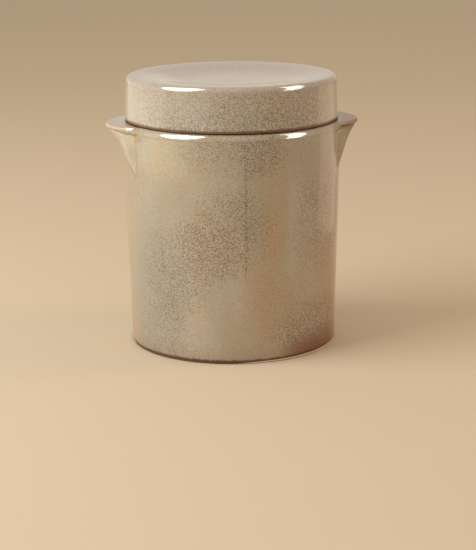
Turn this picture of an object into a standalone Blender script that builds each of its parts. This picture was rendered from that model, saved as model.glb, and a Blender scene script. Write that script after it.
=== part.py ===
"""Stoneware preserving jar: a turned crock with two lug handles and a tall, flush lid.

Units are metres and +Z is up. The origin is the centre of the foot, on the surface the jar
stands on. The lugs point along +X and -X, and the lower end of each leans towards -Y.
The lid rests on the rim and lifts straight off.
"""

import math

import bmesh
import bpy

# Driving dimensions of the crock
JAR_HEIGHT = 0.1488
FOOT_RADIUS = 0.0683
WALL_FLARE = 0.0222
WALL_BELLY = 0.013
WALL_THICKNESS = 0.0070
FLOOR_THICKNESS = 0.0085
FLOOR_CORNER = 0.0120
FOOT_EDGE = 0.0035
RIM_OUTER_EDGE = 0.0032
RIM_INNER_EDGE = 0.0018

# Driving dimensions of a lug, row by row from its flat top down to its lower end:
# depth below the rim, lean and half angle in degrees, reach from the axis, and bluntness
# (1 for a row that comes to a point, 3 for one that is nearly flat across)
LUG_ROWS = (
    (0.0008, 4.0, 26.0, 0.0840, 3.0),
    (0.0032, 4.0, 26.0, 0.0840, 3.0),
    (0.0070, 9.0, 20.5, 0.0785, 1.5),
    (0.0150, 15.0, 13.5, 0.0757, 1.2),
    (0.0260, 20.0, 8.0, 0.0742, 1.2),
    (0.0370, 21.5, 6.0, 0.0690, 1.0),
)
LUG_ROOT_RADIUS = 0.0675
LUG_SIDE_RADIUS = 0.0715
LUG_SMOOTHING = 2

# Driving dimensions of the lid
LID_GAP = 0.0003
LID_HEIGHT = 0.0288
LID_LOWER_RADIUS = 0.0700
LID_UPPER_RADIUS = 0.0692
LID_TOP_EDGE = 0.0022
LID_LOWER_EDGE = 0.0012
LID_DISH_DEPTH = 0.0035
LID_DISH_FLATNESS = 1.6
LID_PLATE_THICKNESS = 0.0080
LID_HOLLOW_RADIUS = 0.0585
LID_HOLLOW_CORNER = 0.0080
FLANGE_RADIUS = 0.0630
FLANGE_DEPTH = 0.0060
FLANGE_EDGE = 0.0010

# Glaze colours, and how finely the round shapes are stepped
JAR_COLOUR = (0.42, 0.34, 0.23)
LID_COLOUR = (0.40, 0.33, 0.23)
GLAZE_ROUGHNESS = 0.28
TURNING_STEPS = 96
WALL_STEPS = 4
DISH_STEPS = 8
ARC_FINENESS = 0.00025

LID_SEAT_Z = JAR_HEIGHT + LID_GAP
LID_TOP_Z = LID_SEAT_Z + LID_HEIGHT


def start_collections():
    """An empty scene with one collection for the pieces and one for the shapes joined to them."""
    for obj in list(bpy.data.objects):
        bpy.data.objects.remove(obj, do_unlink=True)
    parts = bpy.data.collections.new("preserving_jar")
    joined_shapes = bpy.data.collections.new("joined_shapes")
    bpy.context.scene.collection.children.link(parts)
    bpy.context.scene.collection.children.link(joined_shapes)
    return parts, joined_shapes


def glaze(name, colour):
    """A glossy ceramic material."""
    material = bpy.data.materials.new(name)
    material.use_nodes = True
    shader = material.node_tree.nodes["Principled BSDF"]
    shader.inputs["Base Color"].default_value = (*colour, 1.0)
    shader.inputs["Roughness"].default_value = GLAZE_ROUGHNESS
    shader.inputs["Metallic"].default_value = 0.0
    return material


def arc(centre, radius, start, end):
    """Points of an arc from the start angle to the end angle in degrees, more on a large arc."""
    steps = round(math.sqrt(radius / ARC_FINENESS))
    points = []
    for i in range(steps + 1):
        angle = math.radians(start + (end - start) * i / steps)
        x = centre[0] + radius * math.cos(angle)
        z = centre[1] + radius * math.sin(angle)
        points.append((x, z))
    return points


def wall_radius(z):
    """Outer radius of the crock's wall, which flares slightly from the foot to the rim."""
    return FOOT_RADIUS + WALL_FLARE * z + WALL_BELLY * z * z


def turned(name, profile, collection):
    """An object made by turning a profile around Z. The profile runs down its outer side."""
    mesh = bpy.data.meshes.new(name)
    edges = [(i, i + 1) for i in range(len(profile) - 1)]
    mesh.from_pydata([(x, 0.0, z) for x, z in profile], edges, [])
    obj = bpy.data.objects.new(name, mesh)
    collection.objects.link(obj)
    screw = obj.modifiers.new("Turn", "SCREW")
    screw.axis = "Z"
    screw.angle = math.radians(360)
    screw.steps = TURNING_STEPS
    screw.render_steps = TURNING_STEPS
    screw.use_merge_vertices = True
    screw.merge_threshold = 0.0001
    screw.use_smooth_shade = True
    return obj


def crock_profile():
    """Inside floor, inside wall, rounded rim, outer wall and foot."""
    rim_radius = wall_radius(JAR_HEIGHT)
    mouth_radius = rim_radius - WALL_THICKNESS
    well_radius = FOOT_RADIUS - WALL_THICKNESS
    profile = [(0.0, FLOOR_THICKNESS)]
    floor_corner = (well_radius - FLOOR_CORNER, FLOOR_THICKNESS + FLOOR_CORNER)
    profile += arc(floor_corner, FLOOR_CORNER, -90, 0)
    inner_edge = (mouth_radius + RIM_INNER_EDGE, JAR_HEIGHT - RIM_INNER_EDGE)
    profile += arc(inner_edge, RIM_INNER_EDGE, 180, 90)
    outer_edge = (rim_radius - RIM_OUTER_EDGE, JAR_HEIGHT - RIM_OUTER_EDGE)
    profile += arc(outer_edge, RIM_OUTER_EDGE, 90, 0)
    wall_height = JAR_HEIGHT - RIM_OUTER_EDGE - FOOT_EDGE
    for step in range(WALL_STEPS - 1, 0, -1):
        z = FOOT_EDGE + wall_height * step / WALL_STEPS
        profile.append((wall_radius(z), z))
    foot_edge = (wall_radius(FOOT_EDGE) - FOOT_EDGE, FOOT_EDGE)
    profile += arc(foot_edge, FOOT_EDGE, 0, -90)
    profile.append((0.0, 0.0))
    return profile


def dish_profile():
    """The lid's top from its centre outwards: a shallow dish that rises smoothly to the edge."""
    edge_start = LID_UPPER_RADIUS - LID_TOP_EDGE
    points = []
    for step in range(DISH_STEPS):
        share = step / DISH_STEPS
        rise = (1 - math.cos(math.pi * share ** LID_DISH_FLATNESS)) / 2
        points.append((edge_start * share, LID_TOP_Z - LID_DISH_DEPTH * (1 - rise)))
    return points


def lid_profile():
    """Dished top, top edge, side, seat on the rim, locating flange and the hollow underneath."""
    profile = dish_profile()
    top_edge = (LID_UPPER_RADIUS - LID_TOP_EDGE, LID_TOP_Z - LID_TOP_EDGE)
    profile += arc(top_edge, LID_TOP_EDGE, 90, 0)
    lower_edge = (LID_LOWER_RADIUS - LID_LOWER_EDGE, LID_SEAT_Z + LID_LOWER_EDGE)
    profile += arc(lower_edge, LID_LOWER_EDGE, 0, -90)
    profile.append((FLANGE_RADIUS, LID_SEAT_Z))
    flange_bottom = LID_SEAT_Z - FLANGE_DEPTH
    flange_edge = (FLANGE_RADIUS - FLANGE_EDGE, flange_bottom + FLANGE_EDGE)
    profile += arc(flange_edge, FLANGE_EDGE, 0, -90)
    profile.append((LID_HOLLOW_RADIUS, flange_bottom))
    ceiling = LID_TOP_Z - LID_DISH_DEPTH - LID_PLATE_THICKNESS
    hollow_corner = (LID_HOLLOW_RADIUS - LID_HOLLOW_CORNER, ceiling - LID_HOLLOW_CORNER)
    profile += arc(hollow_corner, LID_HOLLOW_CORNER, 0, 90)
    profile.append((0.0, ceiling))
    return profile


def lug_cage(name, collection):
    """A coarse block that subdivision rounds into the lug at -X, with its root inside the wall.

    Each level of the block takes the angle, reach and bluntness of one of LUG_ROWS.
    """
    mesh = bpy.data.meshes.new(name)
    cage = bmesh.new()
    bmesh.ops.create_cube(cage, size=2.0)
    bmesh.ops.subdivide_edges(cage, edges=cage.edges, cuts=len(LUG_ROWS) - 2, use_grid_fill=True)
    for vertex in cage.verts:
        row = round((1 - vertex.co.z) / 2 * (len(LUG_ROWS) - 1))
        depth, lean, half_angle, reach, bluntness = LUG_ROWS[row]
        side = vertex.co.y
        outward = (1 - vertex.co.x) / 2
        side_reach = min(reach, LUG_SIDE_RADIUS)
        row_reach = side_reach + (reach - side_reach) * (1 - abs(side) ** bluntness)
        radius = LUG_ROOT_RADIUS + (row_reach - LUG_ROOT_RADIUS) * outward
        angle = math.radians(180 + lean - half_angle * side)
        vertex.co = (radius * math.cos(angle), radius * math.sin(angle), JAR_HEIGHT - depth)
    cage.to_mesh(mesh)
    cage.free()
    mesh.shade_smooth()
    obj = bpy.data.objects.new(name, mesh)
    collection.objects.link(obj)
    soften = obj.modifiers.new("Soften", "SUBSURF")
    soften.levels = LUG_SMOOTHING
    soften.render_levels = LUG_SMOOTHING
    return obj


def add_lugs(crock, collection):
    """The lug at -X, its mirror image at +X, and both joined to the crock."""
    lug = lug_cage("lug_shape", collection)
    lug.hide_render = True
    lug.display_type = "WIRE"
    mirror = lug.modifiers.new("Other side", "MIRROR")
    mirror.use_axis = (True, False, False)
    mirror.use_mirror_merge = False
    join = crock.modifiers.new("Join lugs", "BOOLEAN")
    join.operation = "UNION"
    join.solver = "EXACT"
    join.object = lug


def build():
    """The jar with its lugs, and the lid resting on it."""
    parts, joined_shapes = start_collections()
    jar = turned("jar", crock_profile(), parts)
    jar.data.materials.append(glaze("jar_glaze", JAR_COLOUR))
    add_lugs(jar, joined_shapes)
    lid = turned("lid", lid_profile(), parts)
    lid.data.materials.append(glaze("lid_glaze", LID_COLOUR))


build()
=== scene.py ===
# %% [markdown]
# # A stoneware preserving jar
#
# This notebook dresses a lidded stoneware jar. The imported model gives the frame: two solids, `jar`
# and `lid`, in metres, with +Z up and the centre of the foot at the origin. The solids are right in
# size but faceted, so each gets a finely turned piece in its place, and both get a speckled salt
# glaze made of nodes.

# %% The frame
import math

import bpy
from mathutils import Matrix, Vector


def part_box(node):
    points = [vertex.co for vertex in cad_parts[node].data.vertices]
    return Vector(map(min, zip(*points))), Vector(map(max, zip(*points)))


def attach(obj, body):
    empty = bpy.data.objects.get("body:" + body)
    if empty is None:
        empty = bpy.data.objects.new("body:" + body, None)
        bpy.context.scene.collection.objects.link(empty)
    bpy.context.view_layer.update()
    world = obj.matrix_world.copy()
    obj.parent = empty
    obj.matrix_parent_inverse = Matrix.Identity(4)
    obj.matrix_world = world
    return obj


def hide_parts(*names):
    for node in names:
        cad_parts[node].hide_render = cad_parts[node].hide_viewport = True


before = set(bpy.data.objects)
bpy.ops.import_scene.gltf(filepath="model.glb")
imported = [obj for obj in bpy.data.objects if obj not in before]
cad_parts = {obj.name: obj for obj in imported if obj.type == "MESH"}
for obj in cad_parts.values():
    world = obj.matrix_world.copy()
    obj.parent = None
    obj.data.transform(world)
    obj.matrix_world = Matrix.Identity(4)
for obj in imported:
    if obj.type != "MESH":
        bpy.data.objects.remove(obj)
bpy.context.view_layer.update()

# %% [markdown]
# ## Camera
#
# The camera stands 1.1 m from the jar, a little above the lid, and looks down by 14 degrees. Its
# lens is long, which keeps the jar's sides nearly parallel. It is turned round the jar by a few
# degrees, so that the left lug comes forward and the right one goes back. Its place is written as a
# chain of turns and moves, because each link is then one plain number.

# %% The camera
IMAGE_WIDTH = 476
FOCAL_LENGTH = 1683.9
CAMERA_DISTANCE = 1.1
CAMERA_HEIGHT = 0.3198
CAMERA_TURN = math.radians(6.5)
CAMERA_PITCH = 0.2474
CAMERA_YAW = 0.0031
CAMERA_ROLL = 0.0086


def turned_by(angle, axis):
    return Matrix.Rotation(angle, 4, axis)


lens = bpy.data.cameras.new("camera")
lens.sensor_fit = "HORIZONTAL"
lens.sensor_width = 36.0
lens.lens = FOCAL_LENGTH / IMAGE_WIDTH * lens.sensor_width
camera = bpy.data.objects.new("camera", lens)
bpy.context.scene.collection.objects.link(camera)
camera.matrix_world = (
    turned_by(-CAMERA_TURN, "Z")
    @ Matrix.Translation((0, -CAMERA_DISTANCE, CAMERA_HEIGHT))
    @ turned_by(-CAMERA_YAW, "Z")
    @ turned_by(math.radians(90) - CAMERA_PITCH, "X")
    @ turned_by(-CAMERA_ROLL, "Z")
)
bpy.context.scene.camera = camera
print(f"The lens is {lens.lens:.0f} mm, at {tuple(round(v, 3) for v in camera.location)}")

# %% [markdown]
# ## Light
#
# One wide softbox at the left lights the jar from cream to brown across its front, and a small warm
# one at the right keeps the shaded side from going grey. A gloss glaze also mirrors its lights. These
# two would smear along every rounded edge, so they are hidden from gloss, and the highlights get
# lights of their own in the next step.

# %% Softboxes, aimed at the jar
JAR_MIDDLE = Vector((0, 0, 0.1))
LAMP_DISTANCE = 1.3
# A softbox's name, azimuth, elevation, distance, width, height, radiance and colour
SOFTBOXES = (
    ("key", -76, 29, LAMP_DISTANCE, 1.10, 0.55, 8.7, (0.97, 1.0, 1.03)),
    ("fill", 88, 26, LAMP_DISTANCE, 0.5, 0.5, 4.9, (1.0, 0.655, 0.51)),
)


def facing(azimuth, elevation):
    """A direction. Azimuth is in degrees from the front, -Y, towards +X."""
    across = math.radians(azimuth)
    up = math.radians(elevation)
    return Vector((math.sin(across) * math.cos(up), -math.cos(across) * math.cos(up), math.sin(up)))


def area_light(name, width, height, radiance, colour, shape="RECTANGLE"):
    data = bpy.data.lights.new(name, "AREA")
    data.shape = shape
    data.size = width
    data.size_y = height
    data.energy = radiance * math.pi * width * height
    data.color = colour
    lamp = bpy.data.objects.new(name, data)
    bpy.context.scene.collection.objects.link(lamp)
    lamp.visible_camera = False
    return lamp


def softbox(name, azimuth, elevation, distance, width, height, radiance, colour):
    lamp = area_light(name, width, height, radiance, colour)
    direction = facing(azimuth, elevation)
    lamp.location = JAR_MIDDLE + direction * distance
    lamp.rotation_euler = (-direction).to_track_quat("-Z", "Y").to_euler()
    print(f"{name}: at {tuple(round(v, 2) for v in lamp.location)}")
    return lamp


for box in SOFTBOXES:
    softbox(*box).visible_glossy = False

# %% [markdown]
# ## Highlights
#
# A highlight sits where the glaze faces halfway between the camera and a light. So each reflection
# card is placed backwards from its highlight: the camera's view is mirrored in glaze that faces the
# way the highlight does, and the card goes where that line leads. Moving a lamp about until its
# highlight fits would take many more tries. Two boards low beside the jar give the soft light bands
# along its sides. Cards and boards show in gloss alone and light nothing.

# %% Cards placed where the glaze mirrors them to the camera, and boards
# A card's name, the azimuth and elevation that its highlight faces, its width, height, roll,
# radiance and shape
CARDS = (
    ("left_card", -34.2, 33.4, 0.85, 1.55, -8.5, 12.5, "ELLIPSE"),
    ("right_card", 28.9, 28.3, 0.43, 1.62, -3.7, 11.5, "RECTANGLE"),
)
# A board's name, azimuth, elevation, distance, width, height, radiance and colour
BOARDS = (
    ("left_board", -115, 7.7, 0.60, 0.87, 0.36, 0.48, (1.0, 1.0, 1.0)),
    ("right_board", 110, -3.3, 0.35, 0.23, 0.16, 0.40, (1.0, 0.84, 0.70)),
)
WHITE = (1, 1, 1)
SMALL_TILT = 5


def mirrored(azimuth, elevation):
    """Where the camera's view goes from glaze that faces this way."""
    normal = facing(azimuth, elevation)
    seen_from = (camera.location - JAR_MIDDLE).normalized()
    return 2 * normal.dot(seen_from) * normal - seen_from


def reflection_card(name, azimuth, elevation, width, height, roll, radiance, shape):
    """A light that only gloss shows, where glaze that faces this way mirrors it to the camera."""
    back = mirrored(azimuth, elevation)
    upwards = mirrored(azimuth, elevation + SMALL_TILT) - mirrored(azimuth, elevation - SMALL_TILT)
    side = upwards.cross(back).normalized()
    turn = Matrix((side, back.cross(side), back)).transposed().to_4x4()
    card = area_light(name, width, height, radiance, WHITE, shape)
    place = Matrix.Translation(JAR_MIDDLE + back * LAMP_DISTANCE)
    card.matrix_world = place @ turn @ turned_by(math.radians(roll), "Z")
    card.visible_diffuse = False
    print(f"{name}: at {tuple(round(v, 2) for v in card.matrix_world.translation)}")


for card_sizes in CARDS:
    reflection_card(*card_sizes)
for board in BOARDS:
    softbox(*board).visible_diffuse = False

# %% [markdown]
# ## World and floor
#
# A pale, warm world fills the shade a little from every side. The floor is a plain matt plane, so
# large that its edge is out of sight.

# %% The world and the floor
WORLD_COLOUR = (1.0, 0.91, 0.80, 1)
WORLD_STRENGTH = 0.72
FLOOR_SIZE = 14.0
FLOOR_COLOUR = (0.565, 0.458, 0.325, 1)
FLOOR_ROUGHNESS = 0.7

world = bpy.data.worlds.new("studio")
bpy.context.scene.world = world
world.use_nodes = True
world.node_tree.nodes["Background"].inputs["Color"].default_value = WORLD_COLOUR
world.node_tree.nodes["Background"].inputs["Strength"].default_value = WORLD_STRENGTH

bpy.ops.object.select_all(action="DESELECT")
bpy.ops.mesh.primitive_plane_add(size=FLOOR_SIZE)
floor = bpy.context.object
floor.name = "floor"
floor_paint = bpy.data.materials.new("pale_floor")
floor_paint.use_nodes = True
floor_shader = floor_paint.node_tree.nodes["Principled BSDF"]
floor_shader.inputs["Base Color"].default_value = FLOOR_COLOUR
floor_shader.inputs["Roughness"].default_value = FLOOR_ROUGHNESS
floor_shader.inputs["Specular IOR Level"].default_value = 0.0
floor.data.materials.append(floor_paint)
bpy.context.scene.view_settings.view_transform = "Standard"
print(f"The floor is {FLOOR_SIZE} m across")

# %% [markdown]
# ## Turning a piece
#
# The crock and the lid are thrown or jollied on a wheel, so both are round. In Blender such a shape
# is a profile spun around an axis. The profile is drawn as by hand: a small plane is merged to one
# vertex, the vertex is extruded from point to point, and Spin then sweeps the line round. A Screw
# modifier would give the same shape, but Spin leaves a plain mesh that can be worked on at once.

# %% Points of a profile
def arc(centre, radius, start, end, steps):
    """Points of an arc in the profile's plane, from the start angle to the end angle in degrees."""
    points = []
    for i in range(steps + 1):
        angle = math.radians(start + (end - start) * i / steps)
        x = centre[0] + radius * math.cos(angle)
        z = centre[1] + radius * math.sin(angle)
        points.append((x, z))
    return points


def straight(start, end, steps):
    """Points between two ends of a straight stretch, without the ends themselves."""
    points = []
    for i in range(1, steps):
        share = i / steps
        x = start[0] + (end[0] - start[0]) * share
        z = start[1] + (end[1] - start[1]) * share
        points.append((x, z))
    return points


# %% Drawing a profile and spinning it
MERGE_DISTANCE = 0.00001
SEED_SIZE = 0.001


def spin_profile(degrees, step):
    """Sweeps the selected profile on round the axis."""
    bpy.ops.mesh.spin(
        steps=round(degrees / step),
        angle=math.radians(degrees),
        use_auto_merge=False,
        center=(0, 0, 0),
        axis=(0, 0, 1),
    )


def turned_piece(name, profile, sectors):
    """A piece turned from a profile that starts and ends on the axis, sector by sector."""
    bpy.ops.object.select_all(action="DESELECT")
    bpy.ops.mesh.primitive_plane_add(size=SEED_SIZE, location=(profile[0][0], 0, profile[0][1]))
    piece = bpy.context.object
    piece.name = name
    piece.data.name = name
    bpy.ops.object.mode_set(mode="EDIT")
    bpy.ops.mesh.select_all(action="SELECT")
    bpy.ops.mesh.merge(type="CENTER")
    for here, there in zip(profile, profile[1:]):
        step = (there[0] - here[0], 0, there[1] - here[1])
        bpy.ops.mesh.extrude_vertices_move(TRANSFORM_OT_translate={"value": step})
    bpy.ops.mesh.select_all(action="SELECT")
    for degrees, step in sectors:
        spin_profile(degrees, step)
    bpy.ops.mesh.select_all(action="SELECT")
    bpy.ops.mesh.remove_doubles(threshold=MERGE_DISTANCE)
    bpy.ops.mesh.normals_make_consistent(inside=False)
    bpy.ops.mesh.select_all(action="DESELECT")
    bpy.ops.object.mode_set(mode="OBJECT")
    bpy.ops.object.transform_apply(location=True, rotation=True, scale=True)
    bpy.ops.object.shade_smooth()
    print(f"{name}: {len(piece.data.vertices)} vertices, {len(piece.data.polygons)} faces")
    return piece


# %% [markdown]
# ## The crock
#
# The wall rises almost straight from a flat foot and flares by nearly 4 mm up to a rounded rim. The
# rows of the profile are close together near the rim, because the lugs are drawn out of that part of
# the wall next, and wider apart below, where the wall is plain. The columns are close together at
# the lugs for the same reason, so the crock is spun sector by sector.

# %% The crock's sizes
RIM_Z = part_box("jar")[1].z
FOOT_RADIUS = 0.0683
WALL_FLARE = 0.0222
WALL_BELLY = 0.013
WALL_THICKNESS = 0.0070
FLOOR_THICKNESS = 0.0085
FLOOR_CORNER = 0.0120
FOOT_EDGE = 0.0035
FOOT_EDGE_END = -39
FOOT_RING_RADIUS = 0.0674
FOOT_RING_TOP = 0.0013
FOOT_RING_EDGE = 0.0004
RIM_EDGE = 0.0044
RIM_INNER_EDGE = 0.0018
LIP_ROWS_END = 0.1340
LUG_ROWS_END = 0.1120
LIP_ROW_HEIGHT = 0.00028
LUG_ROW_HEIGHT = 0.0008
PLAIN_ROW_HEIGHT = 0.0040
RIM_EDGE_Z = RIM_Z - RIM_EDGE


def wall_radius(z):
    """Outer radius of the plain wall at a height."""
    return FOOT_RADIUS + WALL_FLARE * z + WALL_BELLY * z * z


RIM_EDGE_RADIUS = wall_radius(RIM_Z) - RIM_EDGE
print(f"The rim is {2 * wall_radius(RIM_Z) * 1000:.1f} mm across, {RIM_Z * 1000:.1f} mm up")

# %% The crock's profile
LUG_SECTOR = 36
FRONT_SECTOR = 180 - 2 * LUG_SECTOR
FINE_STEP = 0.4
COARSE_STEP = 2.0
CROCK_SECTORS = (
    (LUG_SECTOR, FINE_STEP),
    (FRONT_SECTOR, COARSE_STEP),
    (2 * LUG_SECTOR, FINE_STEP),
    (FRONT_SECTOR, COARSE_STEP),
    (LUG_SECTOR, FINE_STEP),
)


def wall_rows(top, bottom, row_height):
    """Points down the outer wall, one row height apart, with the lower end."""
    rows = round((top - bottom) / row_height)
    heights = [top - (top - bottom) * i / rows for i in range(1, rows + 1)]
    return [(wall_radius(z), z) for z in heights]


def crock_profile():
    """Floor, inside wall, rim, outer wall and foot, from the axis back to the axis."""
    well_radius = FOOT_RADIUS - WALL_THICKNESS
    mouth_radius = wall_radius(RIM_Z) - WALL_THICKNESS
    floor_corner = (well_radius - FLOOR_CORNER, FLOOR_THICKNESS + FLOOR_CORNER)
    inner_edge = (mouth_radius + RIM_INNER_EDGE, RIM_Z - RIM_INNER_EDGE)
    foot_edge = (wall_radius(FOOT_EDGE) - FOOT_EDGE, FOOT_EDGE)
    ring_edge = (FOOT_RING_RADIUS - FOOT_RING_EDGE, FOOT_RING_EDGE)
    points = [(0, FLOOR_THICKNESS)]
    points += straight(points[0], (floor_corner[0], FLOOR_THICKNESS), 6)
    points += arc(floor_corner, FLOOR_CORNER, -90, 0, 8)
    points += straight(points[-1], (mouth_radius, inner_edge[1]), 12)
    points += arc(inner_edge, RIM_INNER_EDGE, 180, 90, 6)
    points += straight(points[-1], (RIM_EDGE_RADIUS, RIM_Z), 3)
    points += arc((RIM_EDGE_RADIUS, RIM_EDGE_Z), RIM_EDGE, 90, 0, 20)
    points += wall_rows(RIM_EDGE_Z, LIP_ROWS_END, LIP_ROW_HEIGHT)
    points += wall_rows(LIP_ROWS_END, LUG_ROWS_END, LUG_ROW_HEIGHT)
    points += wall_rows(LUG_ROWS_END, FOOT_EDGE, PLAIN_ROW_HEIGHT)
    points += arc(foot_edge, FOOT_EDGE, 0, FOOT_EDGE_END, 8)[1:]
    points += [(FOOT_RING_RADIUS, FOOT_RING_TOP)]
    points += straight(points[-1], (FOOT_RING_RADIUS, FOOT_RING_EDGE), 8)
    points += arc(ring_edge, FOOT_RING_EDGE, 0, -90, 3)
    points += straight(points[-1], (0, 0), 6)
    points += [(0, 0)]
    return points


crock = turned_piece("crock", crock_profile(), CROCK_SECTORS)

# %% [markdown]
# ## The lugs
#
# Each lug is a flat ledge level with the rim. Under it a keel runs down into the wall: a wedge with an
# upright front face, whose outer face starts at the ledge's tip and turns forward as it comes down.
# The potter sticks the lug on as soft clay and wipes the joint away, so crock and lug are one skin. A
# Boolean would leave a hard seam under the gloss. Here the wall's own vertices are drawn outwards
# instead. For every angle round the jar a section of the lug is worked out as a line, and the column
# of vertices is laid along it.

# %% The ledge's outline and the keel's levels
# How far the ledge stands out of the wall, by the angle in degrees forward of the jar's side
LEDGE_OUTLINE = (
    (-29, 0.0), (-25, 0.0007), (-22, 0.0022), (-17, 0.0042), (-12, 0.0062), (-7, 0.0083),
    (-4, 0.0097), (0, 0.0107), (3, 0.0111), (6, 0.0112), (8, 0.0109), (10, 0.0103), (13, 0.0094),
    (16, 0.0084), (19, 0.0071), (21, 0.0053), (23, 0.0031), (25, 0.0011), (27, 0.0002), (29, 0.0),
)
# A level of the keel: its height, then angle and reach where its back root, its nose, its front
# ridge and its front root are
KEEL_LEVELS = (
    (0.150, (-17, 0), (4.0, 0.0112), (18.0, 0.0085), (25.6, 0)),
    (0.146, (-13, 0), (4.0, 0.0110), (18.0, 0.0080), (25.6, 0)),
    (0.144, (-9, 0), (5.7, 0.0096), (18.0, 0.0070), (25.5, 0)),
    (0.142, (-5, 0), (8.0, 0.0079), (18.4, 0.0061), (25.4, 0)),
    (0.140, (1, 0), (9.8, 0.0065), (19.2, 0.0056), (25.3, 0)),
    (0.138, (4, 0), (11.3, 0.0055), (20.3, 0.0053), (25.2, 0)),
    (0.136, (6, 0), (12.3, 0.0046), (21.3, 0.0051), (25.1, 0)),
    (0.133, (9, 0), (13.7, 0.0035), (22.4, 0.0047), (25.0, 0)),
    (0.130, (10.5, 0), (14.4, 0.0026), (22.9, 0.0040), (24.9, 0)),
    (0.127, (11.8, 0), (15.2, 0.0018), (23.1, 0.0032), (24.8, 0)),
    (0.124, (14, 0), (16.9, 0.0011), (23.0, 0.0023), (24.7, 0)),
    (0.121, (17, 0), (19.2, 0.0006), (22.8, 0.0014), (24.5, 0)),
    (0.118, (19, 0), (20.6, 0.0003), (22.5, 0.0007), (24.2, 0)),
    (0.115, (20, 0), (21.2, 0.0001), (22.2, 0.0002), (23.8, 0)),
    (0.111, (20, 0), (21.2, 0.0), (22.2, 0.0), (23.8, 0)),
)
LEDGE_SOFTNESS = 1.5
KEEL_SOFTNESS = 1.1
ROOT_ANGLE = 21
ROOT_SOFTENING = 0.3
LEVEL_SOFTNESS = 0.0012


def between(points, where):
    """The height of a line of straight stretches at a place along it, and 0 beyond its ends."""
    for (start, low), (end, high) in zip(points, points[1:]):
        if start <= where < end:
            return low + (high - low) * (where - start) / (end - start)
    return 0.0


def keel_level(z):
    """The four corners of the keel's section at a height."""
    for above, below in zip(KEEL_LEVELS, KEEL_LEVELS[1:]):
        if z >= below[0]:
            share = min((above[0] - z) / (above[0] - below[0]), 1.0)
            pairs = zip(above[1:], below[1:])
            return [(a[0] + (b[0] - a[0]) * share, a[1] + (b[1] - a[1]) * share) for a, b in pairs]
    return KEEL_LEVELS[-1][1:]


def rounded(points, angle, spread):
    """A line's height at an angle, averaged over a few degrees, which rounds its corners."""
    samples = [between(points, angle + spread * step / 3) for step in range(-3, 4)]
    return sum(samples) / len(samples)


def ledge_reach(angle):
    """How far the ledge stands out of the wall at an angle."""
    return rounded(LEDGE_OUTLINE, angle, LEDGE_SOFTNESS)


def keel_rise(angle, z):
    """How far the keel stands out of the wall at an angle and a height."""
    levels = [keel_level(z + step) for step in (-LEVEL_SOFTNESS, 0.0, LEVEL_SOFTNESS)]
    spread = KEEL_SOFTNESS + max(0.0, angle - ROOT_ANGLE) * ROOT_SOFTENING
    return sum(rounded(level, angle, spread) for level in levels) / len(levels)


print(f"The ledge's tip stands out by {ledge_reach(6) * 1000:.1f} mm")

# %% [markdown]
# The ledge's lip is thin at the tip and grows towards the front root, where more clay was pressed on.
# Under the lip a short sweep carries its overhang back into the keel, so no sharp corner is left.

# %% The section of a lug at one angle
LIP_RADIUS = 0.0015
LIP_GROWTH = 0.0009
LIP_GROWTH_START = 12
LIP_GROWTH_DEGREES = 12
LIP_TOP = 0.1486
LIP_BOTTOM = LIP_TOP - 2 * LIP_RADIUS
UNDERSIDE_SWEEP = 0.0013
UNDERSIDE_POWER = 1.5
SECTION_STEP = 0.00025


def lug_section(angle, reach):
    """Points from the rim over the ledge, round its lip and down the keel to the wall."""
    growth = min(max((angle - LIP_GROWTH_START) / LIP_GROWTH_DEGREES, 0.0), 1.0)
    lip_radius = LIP_RADIUS + LIP_GROWTH * growth
    lip_bottom = LIP_TOP - 2 * lip_radius
    lip_centre = wall_radius(RIM_Z) + reach - lip_radius
    points = [(RIM_EDGE_RADIUS, RIM_Z)]
    points += straight(points[0], (lip_centre, LIP_TOP), 6)
    points += arc((lip_centre, LIP_TOP - lip_radius), lip_radius, 90, -90, 14)
    overhang = lip_centre - wall_radius(lip_bottom) - keel_rise(angle, lip_bottom)
    z = lip_bottom
    while z > LUG_ROWS_END:
        z -= SECTION_STEP
        left = math.exp(-((lip_bottom - z) / UNDERSIDE_SWEEP) ** UNDERSIDE_POWER)
        points.append((wall_radius(z) + keel_rise(angle, z) + overhang * left, z))
    points[-1] = (wall_radius(LUG_ROWS_END), LUG_ROWS_END)
    return points


print(f"A section has {len(lug_section(0, ledge_reach(0)))} points")

# %% [markdown]
# Each column of vertices keeps its shares of the length: a vertex a third of the way down the plain
# wall ends a third of the way down the section. Where the ledge runs out, the move fades to nothing,
# and the lug melts into the wall.

# %% Drawing the lugs out of the wall
SOFT_START = 0.0022


def along(points):
    """The distance along a line of points to each of them."""
    distances = [0.0]
    for here, there in zip(points, points[1:]):
        distances.append(distances[-1] + math.dist(here, there))
    return distances


def laid_along(points, shares):
    """Points at given shares of the length of a line."""
    distances = along(points)
    placed = []
    i = 0
    for share in shares:
        wanted = share * distances[-1]
        while i < len(points) - 2 and distances[i + 1] < wanted:
            i += 1
        part = (wanted - distances[i]) / (distances[i + 1] - distances[i])
        here, there = points[i], points[i + 1]
        placed.append(tuple(a + (b - a) * part for a, b in zip(here, there)))
    return placed


def lug_columns(piece):
    """The vertices of the rim's outer edge and the upper wall, by angle and side of the jar."""
    columns = {}
    for vertex in piece.data.vertices:
        x, y, z = vertex.co
        radius = math.hypot(x, y)
        angle = math.degrees(math.atan2(-y, abs(x)))
        outer = radius > RIM_EDGE_RADIUS - MERGE_DISTANCE
        if outer and z > LUG_ROWS_END - MERGE_DISTANCE and ledge_reach(angle) > 0:
            columns.setdefault((round(angle, 2), x > 0), []).append((z, radius, vertex))
    return columns


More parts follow.
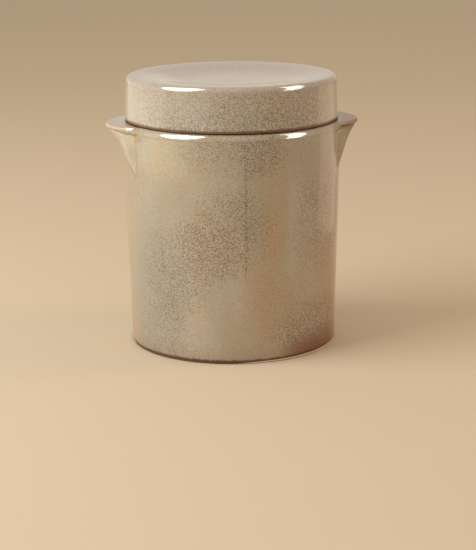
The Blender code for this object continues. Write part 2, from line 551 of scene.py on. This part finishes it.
def draw_out_lugs(piece):
    """Lays each column along the section of the lug at its angle."""
    columns = lug_columns(piece)
    for (angle, _), column in columns.items():
        column.sort(key=lambda row: (-row[0], row[1]))
        distances = along([(radius, z) for z, radius, _ in column])
        shares = [distance / distances[-1] for distance in distances]
        reach = ledge_reach(angle)
        drawn = laid_along(lug_section(angle, reach), shares)
        share = min(reach / SOFT_START, 1.0)
        share = share * share * (3 - 2 * share)
        for (z, radius, vertex), target in zip(column, drawn):
            new_radius = radius + (target[0] - radius) * share
            new_z = z + (target[1] - z) * share
            vertex.co *= new_radius / radius
            vertex.co.z = new_z
    piece.data.update()
    print(f"The lugs: {len(columns)} columns of {len(shares)} vertices drawn out")


draw_out_lugs(crock)

# %% [markdown]
# ## The lid
#
# The lid is a tall cap. Its top is a very shallow dish that rises to a rounded edge, its side leans
# in by less than a millimetre, and underneath a locating flange drops into the crock's mouth. A
# bevelled cylinder could stand in for it, but the dish is what catches the light, so the lid is
# turned from a profile as the crock is.

# %% The lid's profile
LID_TOP_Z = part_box("lid")[1].z
LID_SEAT_Z = RIM_Z + 0.0003
LID_LOWER_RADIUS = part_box("lid")[1].x
LID_UPPER_RADIUS = LID_LOWER_RADIUS - 0.0008
LID_TOP_EDGE = 0.0036
LID_LOWER_EDGE = 0.0012
LID_DISH_DEPTH = 0.0035
LID_DISH_FLATNESS = 1.6
LID_PLATE_THICKNESS = 0.0080
LID_HOLLOW_RADIUS = 0.0585
LID_HOLLOW_CORNER = 0.0080
FLANGE_RADIUS = 0.0630
FLANGE_DEPTH = 0.0060
FLANGE_EDGE = 0.0010
DISH_STEPS = 40
LID_SECTORS = ((360, 1.0),)


def dish_profile():
    """The lid's top from its centre outwards."""
    edge_start = LID_UPPER_RADIUS - LID_TOP_EDGE
    points = []
    for step in range(DISH_STEPS):
        share = step / DISH_STEPS
        rise = (1 - math.cos(math.pi * share ** LID_DISH_FLATNESS)) / 2
        points.append((edge_start * share, LID_TOP_Z - LID_DISH_DEPTH * (1 - rise)))
    return points


def lid_profile():
    """Dish, top edge, side, lower edge, seat, flange and the hollow underneath."""
    top_edge = (LID_UPPER_RADIUS - LID_TOP_EDGE, LID_TOP_Z - LID_TOP_EDGE)
    lower_edge = (LID_LOWER_RADIUS - LID_LOWER_EDGE, LID_SEAT_Z + LID_LOWER_EDGE)
    flange_bottom = LID_SEAT_Z - FLANGE_DEPTH
    flange_edge = (FLANGE_RADIUS - FLANGE_EDGE, flange_bottom + FLANGE_EDGE)
    ceiling = LID_TOP_Z - LID_DISH_DEPTH - LID_PLATE_THICKNESS
    hollow_corner = (LID_HOLLOW_RADIUS - LID_HOLLOW_CORNER, ceiling - LID_HOLLOW_CORNER)
    points = dish_profile()
    points += arc(top_edge, LID_TOP_EDGE, 90, 0, 14)
    points += straight(points[-1], (LID_LOWER_RADIUS, lower_edge[1]), 12)
    points += arc(lower_edge, LID_LOWER_EDGE, 0, -90, 8)
    points += straight(points[-1], (FLANGE_RADIUS, LID_SEAT_Z), 3)
    points += [(FLANGE_RADIUS, LID_SEAT_Z)]
    points += arc(flange_edge, FLANGE_EDGE, 0, -90, 4)
    points += [(LID_HOLLOW_RADIUS, flange_bottom)]
    points += straight(points[-1], (LID_HOLLOW_RADIUS, hollow_corner[1]), 5)
    points += arc(hollow_corner, LID_HOLLOW_CORNER, 0, 90, 8)
    points += straight(points[-1], (0, ceiling), 6)
    points += [(0, ceiling)]
    return points


lid = turned_piece("lid_cap", lid_profile(), LID_SECTORS)

# %% [markdown]
# ## Glaze
#
# The glaze is built from a few ideas, each a mask over the surface: clouds of iron speckle, warm runs
# down the wall, a browner foot, and a bare line of clay where the jar stood on the kiln shelf. A
# painted picture could show them too, but nodes stay sharp at any distance and have no seam. A small
# class lets the masks be written as sums in Python. Each sum adds a Math node.

# %% Node sums in Python
class Wire:
    """A node's output socket, which Python's operators join to Math nodes."""

    def __init__(self, socket):
        self.socket = socket
        self.tree = socket.id_data

    def math(self, operation, first, second=0.0):
        inputs = {0: first, 1: second}
        return add_node(self.tree, "ShaderNodeMath", {"operation": operation}, inputs)

    def __add__(self, other):
        return self.math("ADD", self, other)

    def __sub__(self, other):
        return self.math("SUBTRACT", self, other)

    def __rsub__(self, other):
        return self.math("SUBTRACT", other, self)

    def __mul__(self, other):
        return self.math("MULTIPLY", self, other)

    def __truediv__(self, other):
        return self.math("DIVIDE", self, other)

    def __pow__(self, other):
        return self.math("POWER", self, other)

    def __abs__(self):
        return self.math("ABSOLUTE", self)

    __radd__ = __add__
    __rmul__ = __mul__


def add_node(tree, kind, settings=None, inputs=None, output=0):
    """Adds a node: its settings first, then its inputs as values or wires. Gives back an output."""
    node = tree.nodes.new(kind)
    for key, value in (settings or {}).items():
        setattr(node, key, value)
    for key, value in (inputs or {}).items():
        if isinstance(value, Wire):
            tree.links.new(value.socket, node.inputs[key])
        else:
            node.inputs[key].default_value = value
    return Wire(node.outputs[output])


# %% Ramps, mixes and noise
NO_OFFSET = (0.0, 0.0, 0.0)


def ramp(value, low, high):
    """0 below low and 1 above high, with a smooth change between. Low may be above high."""
    settings = {"interpolation_type": "SMOOTHSTEP"}
    inputs = {"Value": value, "From Min": low, "From Max": high, "To Min": 0.0, "To Max": 1.0}
    if low > high:
        inputs.update({"From Min": high, "From Max": low, "To Min": 1.0, "To Max": 0.0})
    return add_node(value.tree, "ShaderNodeMapRange", settings, inputs)


def degree_ramp(angle, low, high):
    """A ramp over an angle, with its two ends in degrees."""
    return ramp(angle, math.radians(low), math.radians(high))


def mixed(share, first, second):
    """A colour between two colours, each a tuple or a wire."""
    settings = {"data_type": "RGBA", "clamp_factor": True}
    inputs = {0: share, 6: first, 7: second}
    return add_node(share.tree, "ShaderNodeMix", settings, inputs, output=2)


def noise(place, scale, detail=2.0, roughness=0.5):
    inputs = {"Vector": place, "Scale": scale, "Detail": detail, "Roughness": roughness}
    return add_node(place.tree, "ShaderNodeTexNoise", {}, inputs)


def stretched(place, stretch, offset=NO_OFFSET):
    """Coordinates squeezed along an axis, so that a pattern is drawn out along it."""
    inputs = {"Vector": place, "Scale": stretch, "Location": offset}
    return add_node(place.tree, "ShaderNodeMapping", {}, inputs)


def spot(angle, height, at_angle, at_height, angle_size, height_size):
    """A soft round spot: 1 in its middle, 0 beyond its size."""
    across = (angle - math.radians(at_angle)) / math.radians(angle_size)
    up = (height - at_height) / height_size
    return ramp(across * across + up * up, 1.2, 0.0)


# %% [markdown]
# ## Where the speckle gathers
#
# Iron and ash settle on the glaze in soft clouds. The front of this jar has a broad one that drifts
# down from the middle to the lower left, a small one under the rim, one at the right, and a brown one
# above the foot. The back gets four more. Each cloud is a soft spot at an angle round the jar and a
# height. None reaches the line at the very back where the angle jumps from 180 to -180 degrees, or
# it would be cut off there.

# %% Clouds of speckle
# A cloud's angle in degrees and height, its size in both, and its strength
CLOUDS = (
    (-8, 0.093, 26, 0.027, 0.62),
    (-21, 0.074, 27, 0.027, 0.85),
    (-40, 0.058, 26, 0.033, 0.70),
    (-48, 0.030, 22, 0.034, 0.46),
    (-50, 0.008, 28, 0.024, 0.50),
    (6, 0.137, 20, 0.020, 0.85),
    (-14, 0.139, 24, 0.020, 0.50),
    (48, 0.088, 26, 0.040, 0.58),
    (46, 0.016, 34, 0.026, 0.90),
    (138, 0.094, 34, 0.040, 0.66),
    (150, 0.014, 26, 0.030, 0.70),
    (-140, 0.050, 34, 0.044, 0.72),
    (-128, 0.132, 28, 0.024, 0.62),
)


def clouds(angle, height):
    """The strongest cloud at each point, from 0 to 1."""
    total = None
    for at_angle, at_height, angle_size, height_size, strength in CLOUDS:
        one = spot(angle, height, at_angle, at_height, angle_size, height_size) * strength
        total = one if total is None else total.math("MAXIMUM", total, one)
    return total


def cloud_density(place, cloud, drift):
    """How much speckle there is: the clouds, a little everywhere, and both of them patchy."""
    density = cloud + ramp(drift, 0.45, 0.72) * 0.25 + 0.10
    patchy = ramp(noise(place, 150.0, detail=3.0), 0.30, 0.65)
    return density * (0.68 + patchy * 0.40)


print(f"{len(CLOUDS)} clouds of speckle")

# %% [markdown]
# A speckle is a soft dark dot, from half a millimetre to a millimetre across. Cells of a Voronoi
# pattern place the dots: each cell draws a chance, and the density says which chances win. Two sizes
# of dots and a fine grain keep the pattern from looking printed. A few light dots between them are
# painted glints, which stand for the lit tips of the glaze's orange peel.

# %% Iron speckle
SPECKLE = (0.075, 0.036, 0.018, 1)
PAINTED_GLINT = (0.700, 0.640, 0.500, 1)
SMALL_CELL = 0.00088
LARGE_CELL = 0.00125


def dots(place, cell, density):
    """Small soft dots in random places. Density, from 0 to 1, is the share of cells with a dot."""
    cells = add_node(place.tree, "ShaderNodeTexVoronoi", {}, {"Vector": place, "Scale": 1 / cell})
    colour = Wire(cells.socket.node.outputs["Color"])
    chance = add_node(place.tree, "ShaderNodeSeparateColor", {}, {"Color": colour})
    return ramp(cells, 0.62, 0.18) * ramp(density - chance, -0.10, 0.15)


def speckled(place, density, colour):
    """Fine iron speckle and painted glints laid over a colour. Density says how much of both there is.
    """
    small = dots(place, SMALL_CELL, density + 0.18) * 0.56
    large = dots(place, LARGE_CELL, density * 0.80) * 0.54
    grain = ramp(noise(place, 1050.0, detail=2.0), 0.34, 0.68)
    strength = density.math("MINIMUM", density * 0.75 + 0.30, 1.0)
    share = small.math("MAXIMUM", small, large) * strength + grain * (0.15 + density * 0.10)
    # Painted glints: a few light dots that stand for the lit tips of the glaze's orange peel.
    painted_glint = ramp(noise(place, 1250.0, detail=0.0), 0.60, 0.74) * density * 0.30
    return mixed(painted_glint, mixed(share, colour, SPECKLE), PAINTED_GLINT)


# %% [markdown]
# ## The ground
#
# Under the speckle lies a grey-beige glaze that turns warmer where it is thin and cooler where it
# has pooled, in soft upright runs. Noise that is stretched upright gives the runs. On the crock,
# patches of rust, cream and grey lie over it, where flame and ash reached the jar unevenly, and one
# narrow pale stripe at the right is a painted reflection of the light there. They are soft spots as
# the clouds are, because noise alone would put them in places of its own.

# %% Ground colours and patches of another tone
COOL_GLAZE = (0.395, 0.347, 0.258, 1)
WARM_GLAZE = (0.412, 0.322, 0.212, 1)
RUST_GLAZE = (0.400, 0.245, 0.130, 1)
CREAM_GLAZE = (0.480, 0.415, 0.275, 1)
PALE_GLAZE_AND_REFLECTION = (0.450, 0.380, 0.290, 1)
GREY_GLAZE = (0.325, 0.295, 0.228, 1)
# A patch's angle in degrees and height, its size in both, its share and its colour
TONES = (
    (15, 0.100, 10, 0.045, 0.36, RUST_GLAZE),
    (11, 0.036, 9, 0.034, 0.24, RUST_GLAZE),
    (-7, 0.018, 11, 0.024, 0.30, RUST_GLAZE),
    (60, 0.060, 18, 0.070, 0.20, RUST_GLAZE),
    (-17, 0.074, 14, 0.022, 0.26, RUST_GLAZE),
    (-45, 0.130, 16, 0.022, 0.45, CREAM_GLAZE),
    (-80, 0.090, 12, 0.090, 0.14, RUST_GLAZE),
    (-78, 0.008, 24, 0.030, 0.55, RUST_GLAZE),
    (-64, 0.066, 14, 0.026, 0.16, RUST_GLAZE),
    # The narrow pale stripe at 28 degrees is a painted reflection, a light band below the right
    # highlight.
    (28, 0.088, 5, 0.050, 0.40, PALE_GLAZE_AND_REFLECTION),
    (-4, 0.046, 5, 0.024, 0.35, PALE_GLAZE_AND_REFLECTION),
    (-40, 0.100, 16, 0.026, 0.40, GREY_GLAZE),
    (4, 0.104, 10, 0.046, 0.38, GREY_GLAZE),
    (36, 0.062, 12, 0.024, 0.32, PALE_GLAZE_AND_REFLECTION),
    (36, 0.062, 12, 0.024, 0.16, RUST_GLAZE),
    (-27, 0.028, 9, 0.036, 0.45, PALE_GLAZE_AND_REFLECTION),
    (50, 0.120, 16, 0.034, 0.30, GREY_GLAZE),
    (14, 0.138, 12, 0.018, 0.26, GREY_GLAZE),
    (-34, 0.084, 11, 0.020, 0.26, PALE_GLAZE_AND_REFLECTION),
    (36, 0.130, 16, 0.022, 0.55, GREY_GLAZE),
    (-56, 0.044, 26, 0.060, 0.70, GREY_GLAZE),
    (80, 0.060, 40, 0.110, 0.22, RUST_GLAZE),
)


def brushed(place, shift):
    """Faint upright streaks and mottle, -1 to 1, such as running glaze leaves."""
    fine = noise(stretched(place, (1, 1, 0.07), (shift, 0, 0)), 190.0, detail=2.0)
    mottle = noise(place, 75.0, detail=3.0)
    return (fine - 0.5) * 1.6 + (mottle - 0.5) * 1.2


def warmth(place, drift, pull, offset, scale, shift):
    """How warm the ground is, from 0 to 1, in upright runs. A smaller pull makes longer runs."""
    runs = noise(stretched(place, (1, 1, pull), offset), scale, detail=3.0)
    return ramp(runs * 0.6 + drift * 0.4 + brushed(place, shift) * 0.20, 0.40, 0.62)


def crock_ground(place, angle, height, drift):
    """The crock's glaze without its speckle."""
    warm = warmth(place, drift, 0.28, NO_OFFSET, 42.0, 0.0)
    colour = mixed(warm, COOL_GLAZE, WARM_GLAZE)
    for at_angle, at_height, angle_size, height_size, share, tone in TONES:
        patch = spot(angle, height, at_angle, at_height, angle_size, height_size)
        colour = mixed(patch * share, colour, tone)
    return colour


print(f"{len(TONES)} patches of another tone")

# %% [markdown]
# ## Coordinates and gloss
#
# Every mask starts from where a point is: its place on the object, its angle round the jar, its
# height, and its distance from the axis. At the other end the finished colour goes to one shader. A
# salt glaze is a clear glass skin over coloured clay, so the base is quite matt, and all the gloss
# comes from a clear coat with a faint orange peel.

# %% From coordinates to the shader
COAT_ROUGHNESS = 0.09
COAT_IOR = 1.65
MATT_ROUGHNESS = 0.80
GLOSSY_ROUGHNESS = 0.60
BUMP_DISTANCE = 0.001


def new_glaze(name):
    """A new material and its object coordinates, angle round the jar, height and radius."""
    material = bpy.data.materials.new(name)
    material.use_nodes = True
    tree = material.node_tree
    place = add_node(tree, "ShaderNodeTexCoord", output="Object")
    split = add_node(tree, "ShaderNodeSeparateXYZ", {}, {"Vector": place}, output="X").socket.node
    x = Wire(split.outputs["X"])
    y = Wire(split.outputs["Y"])
    height = Wire(split.outputs["Z"])
    angle = x.math("ARCTAN2", x, 0.0 - y)
    radius = (x * x + y * y) ** 0.5
    return material, place, angle, height, radius


def orange_peel(place):
    """The height of the faint ripple that every salt glaze has."""
    return noise(place, 800.0, detail=1.0) * 0.020 + noise(place, 60.0, detail=1.0) * 0.06


def finish_glaze(material, colour, gloss, bump_height):
    """Joins the finished colour to the shader: a soft under-layer and a sharp clear coat."""
    tree = material.node_tree
    shader = tree.nodes["Principled BSDF"]
    tree.links.new(colour.socket, shader.inputs["Base Color"])
    roughness = MATT_ROUGHNESS - gloss * (MATT_ROUGHNESS - GLOSSY_ROUGHNESS)
    tree.links.new(roughness.socket, shader.inputs["Roughness"])
    tree.links.new(gloss.socket, shader.inputs["Coat Weight"])
    shader.inputs["Specular IOR Level"].default_value = 0.0
    shader.inputs["Coat Roughness"].default_value = COAT_ROUGHNESS
    shader.inputs["Coat IOR"].default_value = COAT_IOR
    inputs = {"Strength": 1.0, "Distance": BUMP_DISTANCE, "Height": bump_height}
    bump = add_node(tree, "ShaderNodeBump", {}, inputs)
    tree.links.new(bump.socket, shader.inputs["Normal"])
    print(f"{material.name}: {len(tree.nodes)} nodes")


# %% [markdown]
# ## The lugs' finish
#
# Glaze runs thin on the lugs. The left one is creamy and has hardly any speckle, the right one shows
# the clay on its lip and outer face, and a thin dark line of painted shade runs down each keel's nose,
# where its outline stands against the wall. A second material could be given to their faces, but its
# edge would follow the mesh.
# So a lug is found by how far a point lies beyond the plain wall, and the angle forward of the jar's
# side then tells its parts apart.

# %% Masks that find the lugs
def lug_masks(angle, height, radius):
    """The lugs' masks, each 0 to 1, with the distance beyond the wall and the angle forward."""
    beyond = radius - (FOOT_RADIUS + height * WALL_FLARE + height * height * WALL_BELLY)
    upper = ramp(height, 0.105, 0.112)
    return {
        "beyond": beyond,
        "on": ramp(beyond, 0.0010, 0.0030) * upper,
        "near": ramp(beyond, 0.0002, 0.0010) * upper,
        "right": ramp(angle, 0.0, 0.1),
        "forward": math.radians(90) - abs(angle),
        "below_top": ramp(height, LIP_TOP - 0.0001, LIP_TOP - 0.0007),
    }


# %% Colours of the lugs
LIP_CLAY = (0.330, 0.225, 0.165, 1)
LUG_CREAM_AND_LID_REFLECTION = (0.620, 0.560, 0.425, 1)
MARK_AND_SHADE_BROWN = (0.130, 0.085, 0.052, 1)
NOSE_ANGLE = 5.2
NOSE_HEIGHT = 0.146
NOSE_TURN = 570


def nose_shade_line(height, lug):
    """A thin line of painted shade down the keel's nose, along its outline, which turns forward by so
    many degrees for each metre.
    """
    nose = math.radians(NOSE_ANGLE) + (NOSE_HEIGHT - height) * math.radians(NOSE_TURN)
    line = degree_ramp(abs(lug["forward"] - nose), 1.6, 0.5)
    line = line * ramp(height, 0.1165, 0.1195) * ramp(height, 0.1452, 0.1440)
    return line * ramp(lug["beyond"], 0.0, 0.0002)


def lug_colour(colour, height, lug, mottle):
    """The lugs' tones under the speckle, and a line of painted shade down each keel's nose."""
    at_left = 1.0 - lug["right"]
    outer_face = lug["near"] * degree_ramp(lug["forward"], 22, 17)
    ledge_top = lug["near"] * (1.0 - lug["below_top"])
    colour = mixed(lug["near"] * at_left * lug["below_top"] * 0.54, colour, LUG_CREAM_AND_LID_REFLECTION)
    colour = mixed(outer_face * lug["right"] * 0.55, colour, LIP_CLAY)
    colour = mixed(ledge_top * (mottle * 0.40 + 0.10), colour, LIP_CLAY)
    # Painted shade: a thin dark line down each keel's nose.
    return mixed(nose_shade_line(height, lug) * 0.60, colour, MARK_AND_SHADE_BROWN)


def lip_colour(colour, height, lug, mottle):
    """The clay tone of the right lip, and the line low on both lips where speckle gathers."""
    lip = lug["on"] * ramp(height, LIP_BOTTOM - 0.0006, LIP_BOTTOM + 0.0004)
    lip_line = lip * ramp(height, LIP_BOTTOM + 0.0018, LIP_BOTTOM + 0.0006)
    colour = mixed(lip * lug["right"] * 0.60, colour, LIP_CLAY)
    colour = mixed(lip_line * lug["right"] * mottle * 0.6, colour, MARK_AND_SHADE_BROWN)
    return colour, lip_line


# %% Gloss of the crock
MATT_LIMIT = 0.95


def crock_gloss(height, lug, foot, bare):
    """1 where the coat is full. The thin glaze on the lugs and the foot shines less."""
    near, forward = lug["near"], lug["forward"]
    root = degree_ramp(forward, 33, 29) * ramp(height, 0.139, 0.142)
    lug_or_root = near.math("MAXIMUM", near, root)
    right_matt = lug_or_root * lug["right"] * (lug["below_top"] * 0.55 + 0.45)
    left_matt = lug_or_root * ramp(height, LIP_BOTTOM + 0.0001, LIP_BOTTOM - 0.0005)
    left_matt = left_matt + root * degree_ramp(forward, 24.4, 25.4)
    left_matt = left_matt + near * lug["below_top"] * degree_ramp(forward, 22.4, 21.0)
    matt = right_matt + left_matt * (1.0 - lug["right"]) + foot * 0.7
    return (1.0 - bare) * (1.0 - matt.math("MINIMUM", matt, MATT_LIMIT))


# %% [markdown]
# ## The foot and the seat
#
# Low down the flame turned the glaze rust brown, most of all at the right. The foot itself is dark,
# with a ragged upper edge. Round the right side a line of clay was left bare, so that the jar didn't
# stick to the kiln shelf. Under it, all round, a thin dark line is a painted contact shadow where the
# jar stands. Each of these bands is a ramp over the height, and a little noise added to the height
# makes an edge ragged. The seat under the lid is painted dark as well, as painted shade that deepens
# the seam.

# %% Colours of the foot and the seat
FOOT_AND_CONTACT_SHADOW_BROWN = (0.100, 0.046, 0.020, 1)
FOOT_RUST = (0.170, 0.058, 0.018, 1)
BARE_CLAY = (0.78, 0.60, 0.43, 1)
SEAM_SHADE_BROWN = (0.190, 0.078, 0.030, 1)


def foot_colour(colour, place, angle, height):
    """The rust haze and the brown foot. Also gives the foot's mask."""
    ragged = (noise(place, 420.0, detail=3.0) - 0.5) * 0.0024
    low_right = spot(angle, height, 52, 0.0, 34, 0.050)
    haze = ramp((height + ragged) / (low_right * 0.8 + 1.0), 0.0140, 0.001)
    colour = mixed(haze * (0.22 + low_right * 0.74), colour, FOOT_RUST)
    foot = ramp(height + ragged, 0.0037, 0.0020)
    return mixed(foot * 0.85, colour, FOOT_AND_CONTACT_SHADOW_BROWN), foot


def bare_line_and_contact_shadow(colour, angle, height):
    """The bare clay round the right side, and a thin painted contact shadow at the lower edge. Also
    gives the clay's mask.
    """
    bare_height = degree_ramp(angle, -15, 12) * FOOT_RING_TOP - 0.0001
    bare_height = bare_height * degree_ramp(angle, 176, 140)
    bare = ramp(height - bare_height, 0.0001, -0.0001)
    colour = mixed(bare, colour, BARE_CLAY)
    # Painted contact shadow: a thin dark line all round at the very bottom, where the jar stands.
    return mixed(ramp(height, 0.0005, 0.0002) * 0.85, colour, FOOT_AND_CONTACT_SHADOW_BROWN), bare


def seam_shade_colour(colour, height, radius):
    """Painted shade: a dark band on the seat that the lid stands on, which deepens the seam."""
    # Painted shade in the seam between lid and crock.
    seat = ramp(height, 0.14845, 0.1486) * ramp(radius, 0.0704, 0.0699)
    return mixed(seat * 0.9, colour, SEAM_SHADE_BROWN)


# %% [markdown]
# ## The crock's glaze
#
# Now the layers go on from the lowest up: ground, clouds, the thin dark run near the middle of the
# front, the lugs' tones, the speckle over all of them, and last the foot. One material for the whole
# crock lets each layer fade into the next, which several materials side by side can't do.

# %% The crock's glaze
RUN_ANGLE = math.radians(0.4)


def dark_run(angle, height):
    """A thin upright run of dark glaze near the middle of the front."""
    line = degree_ramp(abs(angle - RUN_ANGLE), 1.05, 0.25)
    return line * ramp(height, 0.050, 0.078) * ramp(height, 0.142, 0.118)


def crock_glaze():
    material, place, angle, height, radius = new_glaze("jar_glaze")
    drift = noise(place, 22.0, detail=2.0)
    mottle = ramp(noise(place, 160.0, detail=3.0), 0.38, 0.62)
    cloud = clouds(angle, height)
    run = dark_run(angle, height)
    lug = lug_masks(angle, height, radius)

    colour = crock_ground(place, angle, height, drift)
    colour = mixed(cloud * 0.16, colour, GREY_GLAZE)
    colour = mixed(run * 0.10, colour, MARK_AND_SHADE_BROWN)
    colour = lug_colour(colour, height, lug, mottle)
    colour, lip_line = lip_colour(colour, height, lug, mottle)

    plain_face = lug["near"] * (1.0 - lug["right"]) * 0.85
    density = cloud_density(place, cloud, drift) * (1.0 - plain_face)
    colour = speckled(place, density + run * 0.9 + lip_line * 0.8, colour)

    colour, foot = foot_colour(colour, place, angle, height)
    colour = seam_shade_colour(colour, height, radius)
    colour, bare = bare_line_and_contact_shadow(colour, angle, height)
    finish_glaze(material, colour, crock_gloss(height, lug, foot, bare), orange_peel(place))
    return material


crock.data.materials.append(crock_glaze())

# %% [markdown]
# ## The lid's glaze
#
# The lid sat higher in the kiln and caught more ash, so its side is evenly speckled, most densely at
# the front and low down. Its top is plainer and browner at the back, and a pale wavy patch at its
# left is a painted reflection of the light at the left. Its lower edge was wiped before firing and
# shows a thin brown line. The ground and the speckle come from the crock's own functions, so that both
# pieces look fired together. Under the top edge, at the right front, a small ripple in the glaze
# breaks up the light.

# %% The lid's colours and masks
LID_COOL_GLAZE = (0.434, 0.398, 0.322, 1)
LID_WARM_GLAZE = (0.450, 0.386, 0.288, 1)
LID_TOP_CLAY = (0.360, 0.272, 0.205, 1)
EDGE_BROWN = (0.140, 0.068, 0.034, 1)
SIDE_START = LID_TOP_Z - 0.008


def lid_density(angle, height, drift, side):
    """How much speckle the lid has."""
    low = ramp(height, SIDE_START, LID_SEAT_Z)
    front = ramp(abs(angle + 0.02), 1.25, 0.52)
    density = side * front * (0.31 + ramp(drift, 0.35, 0.65) * 0.35 + low * 0.25) + 0.12
    density = density + ramp(height, LID_SEAT_Z + 0.0036, LID_SEAT_Z + 0.0024) * 0.5
    return density + (1.0 - side) * 0.22


def lid_top_colour(colour, place, angle, radius, top):
    """The top's clay tone, its browner back, and a painted reflection of the light at the left."""
    turned_back = ramp(abs(angle), 1.0, 2.2) * ramp(radius, 0.005, 0.045)
    wave = noise(stretched(place, (1, 2.4, 1)), 34.0, detail=1.0)
    # Painted reflection: a pale wavy patch at the left of the top, where the light at the left mirrors
    # in the dish.
    painted_reflection = spot(angle, radius, -72, 0.052, 48, 0.020) * ramp(wave, 0.35, 0.62) * top
    colour = mixed(top * 0.45, colour, LID_TOP_CLAY)
    colour = mixed(turned_back * top * 0.20, colour, FOOT_RUST)
    return mixed(painted_reflection * 0.55, colour, LUG_CREAM_AND_LID_REFLECTION)


# %% The lid's glaze
def lid_glaze():
    material, place, angle, height, radius = new_glaze("lid_glaze")
    drift = noise(place, 20.0, detail=2.0)
    warm = warmth(place, drift, 0.4, (0.3, 0.1, 0.2), 45.0, 0.5)
    side = ramp(height, LID_TOP_Z - 0.001, SIDE_START)
    ragged = (noise(place, 300.0) - 0.5) * 0.0012
    wiped = ramp(height + ragged, LID_SEAT_Z + 0.0023, LID_SEAT_Z + 0.0015)

    colour = mixed(warm, LID_COOL_GLAZE, LID_WARM_GLAZE)
    colour = lid_top_colour(colour, place, angle, radius, 1.0 - side)
    colour = speckled(place, lid_density(angle, height, drift, side), colour)
    colour = mixed(wiped * 0.85, colour, EDGE_BROWN)

    ripple = spot(angle, height, 29, 0.1662, 5.5, 0.0022) * (noise(place, 450.0) * 0.32 + 0.10)
    finish_glaze(material, colour, 1.0 - wiped * 0.6, orange_peel(place) + ripple)
    return material


lid.data.materials.append(lid_glaze())

# %% [markdown]
# ## Riding and replacing
#
# Both pieces ride on the one body and stand for the solids of the same shape.

# %% Riding and replacing
for piece, node, slot in ((crock, "jar", "jar_glaze"), (lid, "lid", "lid_glaze")):
    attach(piece, "root")
    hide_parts(node)
